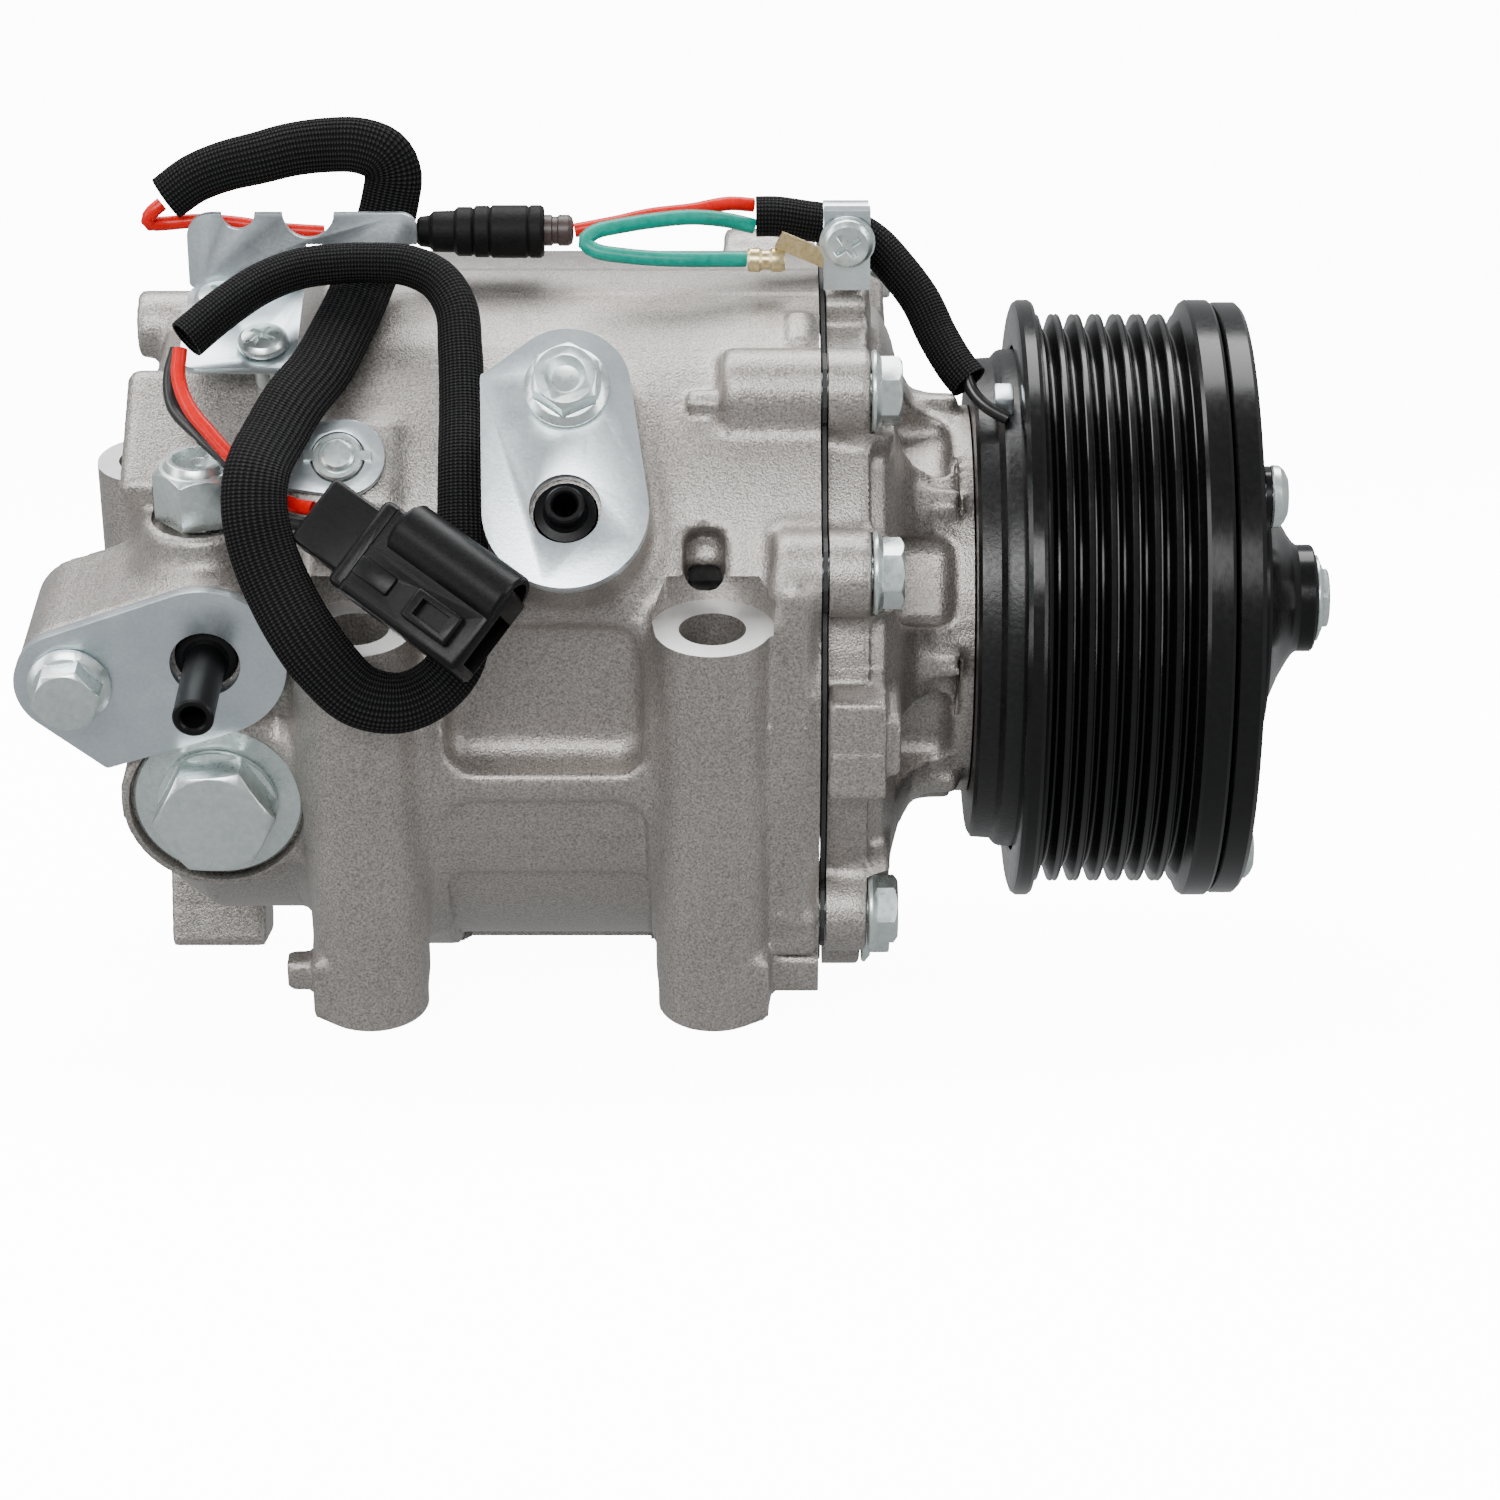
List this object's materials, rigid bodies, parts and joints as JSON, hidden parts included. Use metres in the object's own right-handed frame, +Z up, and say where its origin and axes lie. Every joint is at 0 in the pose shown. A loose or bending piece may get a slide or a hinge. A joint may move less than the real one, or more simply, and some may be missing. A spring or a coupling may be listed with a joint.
{
  "type": "automotive ac compressor",
  "caption": "Scroll refrigerant compressor with a cast aluminium housing, magnetic clutch, grooved belt pulley, covered ports and a sleeved wiring lead.",
  "frame": {"origin": "centre of the base of the compressor's box without its wiring, on the surface it lies on", "axes": "+X along the shaft towards the pulley, +Z up as it lies on a bench, with the mount bosses leaning 20.5 degrees to the front (-Y)"},
  "size_m": [0.2184, 0.1505, 0.1485],
  "materials": {
    "cast_aluminium": "sand-textured casting, semi-rough, machined faces brighter",
    "gasket": "dark coated metal gasket, matt",
    "zinc_plate": "pale bluish zinc plating, satin",
    "steel": "ground steel",
    "coil_steel": "black phosphated steel, satin",
    "black_paint": "gloss black paint",
    "rubber": "matt black rubber",
    "copper": "enamelled copper winding",
    "black_plastic": "satin black moulded plastic",
    "brown_plastic": "dark brown moulded plastic",
    "brass": "tin-plated brass terminal",
    "braid": "black braided polyester sleeve",
    "red_wire": "bright red wire insulation",
    "green_wire": "teal green wire insulation",
    "black_wire": "black wire insulation"
  },
  "bodies": {
    "housing": {"rear_housing": "cast_aluminium", "front_housing": "cast_aluminium", "fixed_scroll": "cast_aluminium", "housing_gasket": "gasket", "housing_bolt_1": "zinc_plate", "housing_bolt_2": "zinc_plate", "housing_bolt_3": "zinc_plate", "housing_bolt_4": "zinc_plate", "housing_bolt_5": "zinc_plate", "housing_bolt_6": "zinc_plate", "suction_plate": "zinc_plate", "suction_plate_bolt": "zinc_plate", "discharge_plate": "zinc_plate", "discharge_plate_bolt": "zinc_plate", "oil_plug": "zinc_plate", "oil_plug_washer": "zinc_plate", "relief_valve_body": "zinc_plate", "wiring_bracket": "zinc_plate", "bracket_screw_1": "zinc_plate", "bracket_screw_2": "zinc_plate", "switch_retainer": "zinc_plate", "lead_clamp": "zinc_plate", "clamp_screw": "zinc_plate", "thrust_ring": "steel", "main_bearing": "steel", "reed_stop": "steel", "bearing_inner_ring": "steel", "relief_spring": "steel", "coil_housing": "coil_steel", "shaft_seal": "rubber", "plug_boot": "rubber", "coil_winding": "copper", "suction_port_cap": "black_plastic", "discharge_port_cap": "black_plastic", "thermal_switch": "black_plastic", "harness_connector": "black_plastic", "inline_plug": "brown_plastic", "ground_terminal": "brass", "harness_sleeve": "braid", "coil_sleeve": "braid", "power_wire": "red_wire", "top_wire": "red_wire", "switch_wire_red": "red_wire", "ground_wire": "green_wire", "switch_wire_black": "black_wire"},
    "shaft": {"crankshaft": "steel", "counterweight_bush": "steel", "clutch_hub": "black_paint", "hub_bolt": "zinc_plate"},
    "armature": {"armature_plate": "black_paint", "spring_plate": "steel", "clutch_rivet_1": "zinc_plate", "clutch_rivet_2": "zinc_plate", "clutch_rivet_3": "zinc_plate"},
    "pulley": {"pulley": "black_paint", "bearing_outer_ring": "steel"},
    "orbiter": {"orbiting_scroll": "cast_aluminium", "orbit_bearing": "steel"},
    "reed": {"discharge_reed": "steel"},
    "poppet": {"relief_valve_poppet": "steel"}
  },
  "joints": [
    {"name": "pulley_spin", "type": "hinge", "parent": "housing", "child": "pulley", "pos_m": [0.07114, 0.00629, 0.0663], "axis": [1, 0, 0], "continuous": true},
    {"name": "shaft_spin", "type": "hinge", "parent": "housing", "child": "shaft", "pos_m": [0.07114, 0.00629, 0.0663], "axis": [1, 0, 0], "continuous": true},
    {"name": "orbit_pivot", "type": "hinge", "parent": "shaft", "child": "orbiter", "pos_m": [0.00114, 0.00489, 0.07005], "axis": [1, 0, 0], "continuous": true},
    {"name": "clutch_engage", "type": "slide", "parent": "shaft", "child": "armature", "axis": [-1, 0, 0], "range_m": [0, 0.0004], "stiffness_N_per_m": 20000},
    {"name": "reed_lift", "type": "hinge", "parent": "housing", "child": "reed", "pos_m": [-0.04741, -0.00019, 0.08363], "axis": [0, 0.9367, 0.3502], "range_deg": [0, 3.5], "stiffness_Nm_per_rad": 0.05},
    {"name": "relief_lift", "type": "slide", "parent": "housing", "child": "poppet", "axis": [0, -0.3502, 0.9367], "range_m": [0, 0.002], "stiffness_N_per_m": 800, "springref_m": -0.004, "deforming": ["relief_spring"]}
  ],
  "couplings": [
    {"joint": "orbit_pivot", "follows": "shaft_spin", "ratio": -1}
  ]
}
